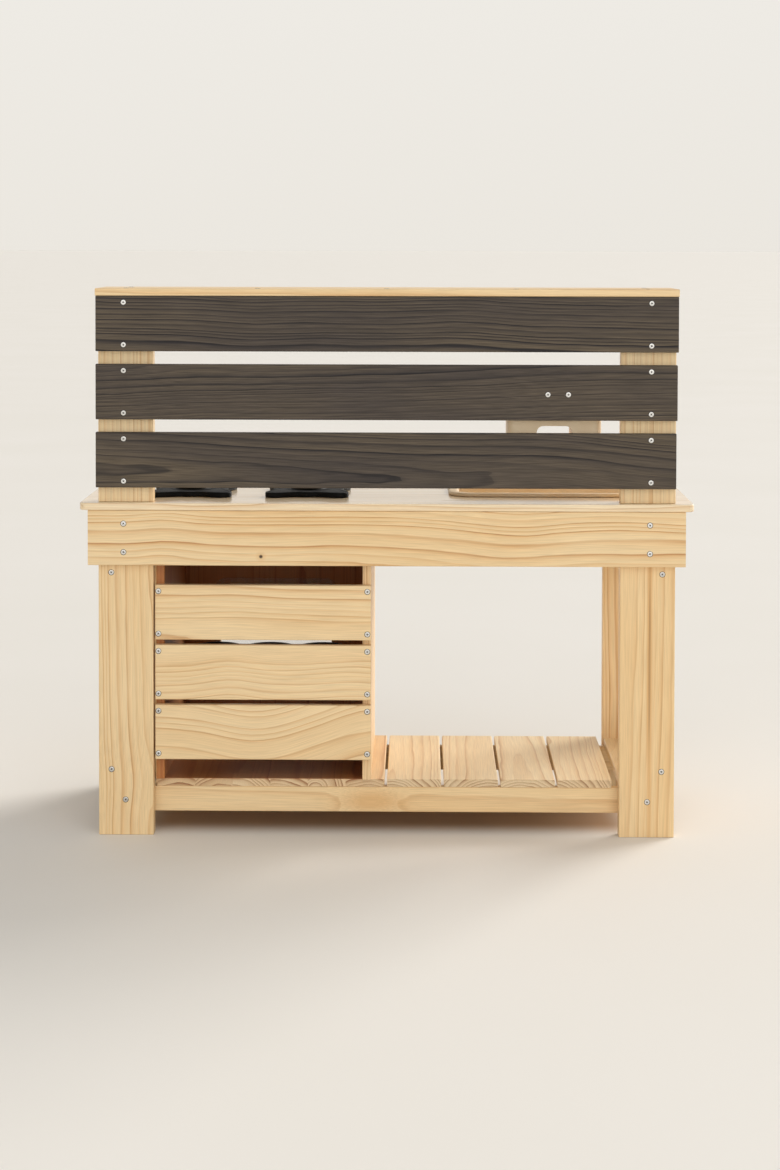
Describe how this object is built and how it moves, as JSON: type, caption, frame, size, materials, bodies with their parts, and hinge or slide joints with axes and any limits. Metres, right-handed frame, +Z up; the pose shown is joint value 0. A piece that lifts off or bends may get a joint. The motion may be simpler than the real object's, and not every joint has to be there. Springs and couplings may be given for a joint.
{
  "type": "mud kitchen",
  "caption": "Child's outdoor mud kitchen in pine: worktop with lift-out sink, burner plates, glazed oven, slatted shelf, stained board back, top shelf and hanging water tank.",
  "frame": {"origin": "on the floor under the middle of the worktop, which is the bottom centre of the whole unit", "axes": "+Z up, +X to the right of someone standing at the front, front facing -Y, boarded back towards +Y"},
  "size_m": [1, 0.41, 0.897],
  "materials": {
    "pine": "planed natural pine with a clear water-based coat",
    "charcoal_pine": "planed pine stained charcoal",
    "zinc_steel": "bright zinc plated",
    "black_steel": "satin black powder coat",
    "black_plastic": "moulded satin black",
    "beige_plastic": "moulded satin beige",
    "clear_pane": "clear"
  },
  "bodies": {
    "frame": {"leg_back_left": "pine", "leg_back_right": "pine", "leg_front_left": "pine", "leg_front_right": "pine", "apron_back": "pine", "apron_front": "pine", "apron_left": "pine", "apron_right": "pine", "rail_lower_back": "pine", "rail_lower_front": "pine", "rail_upper_left": "pine", "rail_upper_right": "pine", "rail_lower_left": "pine", "rail_lower_right": "pine", "worktop": "pine", "shelf_panel": "pine", "shelf_slat_1": "pine", "shelf_slat_2": "pine", "shelf_slat_3": "pine", "shelf_slat_4": "pine", "shelf_end_slat_left": "pine", "shelf_end_slat_right": "pine", "oven_side_inner": "pine", "oven_side_outer": "pine", "oven_back_slat_1": "pine", "oven_back_slat_2": "pine", "oven_back_slat_3": "pine", "rack_cleat_inner": "pine", "rack_cleat_outer": "pine", "hinge_upper_frame_leaf": "zinc_steel", "hinge_upper_pin": "zinc_steel", "hinge_lower_frame_leaf": "zinc_steel", "hinge_lower_pin": "zinc_steel", "post_left": "pine", "post_right": "pine", "shelf_gusset_left": "pine", "shelf_gusset_right": "pine", "post_angle_left": "zinc_steel", "post_angle_right": "zinc_steel", "back_board_1": "charcoal_pine", "back_board_2": "charcoal_pine", "back_board_3": "charcoal_pine", "top_shelf": "pine", "hook_rail": "black_steel", "burner_plate_left": "black_plastic", "burner_plate_right": "black_plastic", "tank_bracket": "zinc_steel"},
    "door": {"oven_door": "pine", "window_pane": "clear_pane", "door_handle": "black_steel", "hinge_upper_door_leaf": "zinc_steel", "hinge_lower_door_leaf": "zinc_steel"},
    "rack": {"oven_rack": "black_steel"},
    "tray": {"oven_tray": "black_steel"},
    "basin": {"sink_basin": "beige_plastic"},
    "tank": {"water_tank": "beige_plastic", "tap_body": "black_plastic"},
    "lever": {"tap_lever": "black_plastic"},
    "left_knob": {"knob_left": "black_plastic"},
    "right_knob": {"knob_right": "black_plastic"}
  },
  "joints": [
    {"name": "oven_door_hinge", "type": "hinge", "parent": "frame", "child": "door", "pos_m": [0.37975, -0.1672, 0.26715], "axis": [0, 0, 1], "range_deg": [0, 110]},
    {"name": "rack_lift", "type": "slide", "parent": "frame", "child": "rack", "axis": [0, 0, 1], "range_m": [0, 0.015]},
    {"name": "tray_lift", "type": "slide", "parent": "rack", "child": "tray", "axis": [0, 0, 1], "range_m": [0, 0.03]},
    {"name": "basin_lift", "type": "slide", "parent": "frame", "child": "basin", "axis": [0, 0, 1], "range_m": [0, 0.03]},
    {"name": "tank_lift", "type": "slide", "parent": "frame", "child": "tank", "axis": [0, 0, 1], "range_m": [0, 0.02]},
    {"name": "tap_lever_turn", "type": "hinge", "parent": "tank", "child": "lever", "pos_m": [-0.274, 0.0753, 0.7123], "axis": [0, 0, 1], "range_deg": [0, 90]},
    {"name": "knob_left_turn", "type": "hinge", "parent": "frame", "child": "left_knob", "pos_m": [0.1335, -0.1793, 0.4908], "axis": [0, -1, 0], "continuous": true},
    {"name": "knob_right_turn", "type": "hinge", "parent": "frame", "child": "right_knob", "pos_m": [0.3285, -0.1793, 0.4908], "axis": [0, -1, 0], "continuous": true}
  ]
}
